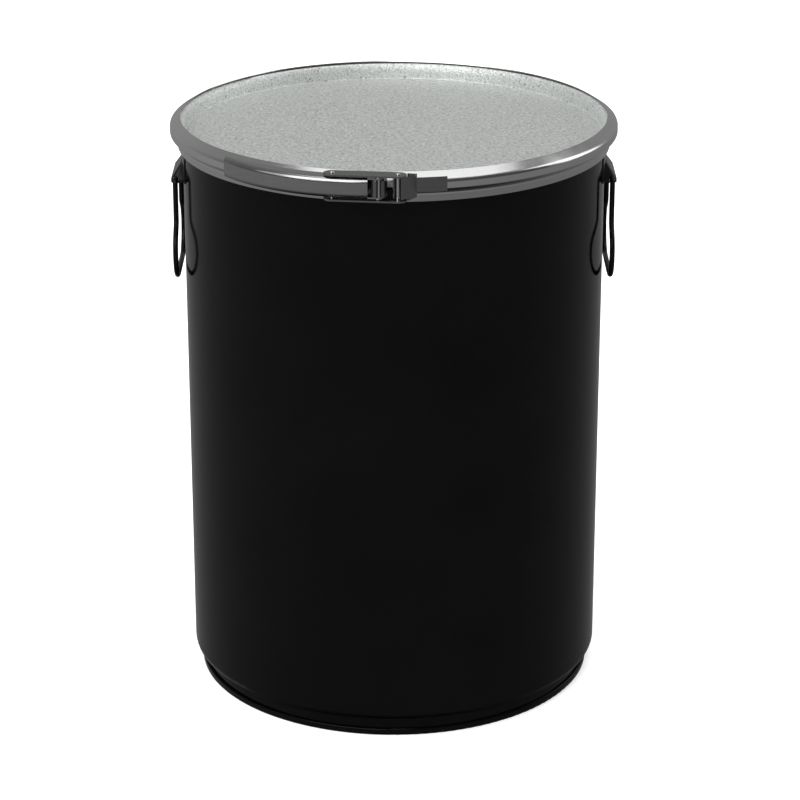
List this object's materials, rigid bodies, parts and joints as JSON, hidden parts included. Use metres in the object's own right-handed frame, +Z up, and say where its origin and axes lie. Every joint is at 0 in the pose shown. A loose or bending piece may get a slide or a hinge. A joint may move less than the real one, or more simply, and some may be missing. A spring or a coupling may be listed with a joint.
{
  "type": "steel drum",
  "caption": "Small open-head steel drum with a recessed lid held by a lever-lock clamp ring, and a wire drop handle on each side.",
  "frame": {"origin": "centre of the bottom seam's resting face, on the drum axis", "axes": "+Z up along the drum axis, -Y towards the closure at the front, +X to the right-hand drop handle"},
  "size_m": [0.402, 0.4183, 0.535],
  "materials": {
    "black_paint": "smooth gloss black enamel",
    "black_hardware": "gloss black enamel over pressed steel",
    "black_wire": "gloss black enamel over drawn wire",
    "galvanised_lid": "satin galvanised sheet with fine speckle",
    "galvanised_band": "smooth galvanised rolled strip",
    "zinc_closure": "zinc-plated pressed steel",
    "bright_pin": "bright turned steel",
    "gasket_rubber": "dull black rubber",
    "seam_compound": "dull flowed-in sealing compound"
  },
  "bodies": {
    "drum": {"body_shell": "black_paint", "bottom_head": "black_paint", "bottom_seam_compound": "seam_compound", "left_handle_bracket": "black_hardware", "right_handle_bracket": "black_hardware"},
    "cover": {"lid": "galvanised_lid", "lid_gasket": "gasket_rubber"},
    "ring": {"locking_ring": "galvanised_band", "ring_pivot_lug": "zinc_closure", "ring_anchor_lug": "zinc_closure"},
    "lever": {"closure_lever": "zinc_closure", "lever_pivot_pin": "bright_pin"},
    "links": {"upper_link": "zinc_closure", "lower_link": "zinc_closure", "lever_link_pin": "bright_pin", "anchor_pin": "bright_pin"},
    "left_bail": {"left_handle_bail": "black_wire"},
    "right_bail": {"right_handle_bail": "black_wire"}
  },
  "joints": [
    {"name": "lid_lift", "type": "slide", "parent": "drum", "child": "cover", "axis": [0, 0, 1], "range_m": [0, 0.2]},
    {"name": "ring_lift", "type": "slide", "parent": "cover", "child": "ring", "axis": [0, 0, 1], "range_m": [0, 0.15], "deforming": ["locking_ring"]},
    {"name": "lever_open", "type": "hinge", "parent": "ring", "child": "lever", "pos_m": [-0.0126, -0.2095, 0.5227], "axis": [0, 0, 1], "range_deg": [0, 140]},
    {"name": "link_swing", "type": "hinge", "parent": "lever", "child": "links", "pos_m": [-0.0515, -0.2036, 0.5227], "axis": [0, 0, 1], "range_deg": [-140, 0]},
    {"name": "left_bail_swing", "type": "hinge", "parent": "drum", "child": "left_bail", "pos_m": [-0.1954, 0, 0.4772], "axis": [0, 1, 0], "range_deg": [0, 165]},
    {"name": "right_bail_swing", "type": "hinge", "parent": "drum", "child": "right_bail", "pos_m": [0.1954, 0, 0.4772], "axis": [0, -1, 0], "range_deg": [0, 165]}
  ],
  "couplings": [
    {"joint": "link_swing", "follows": "lever_open", "ratio": -1}
  ]
}
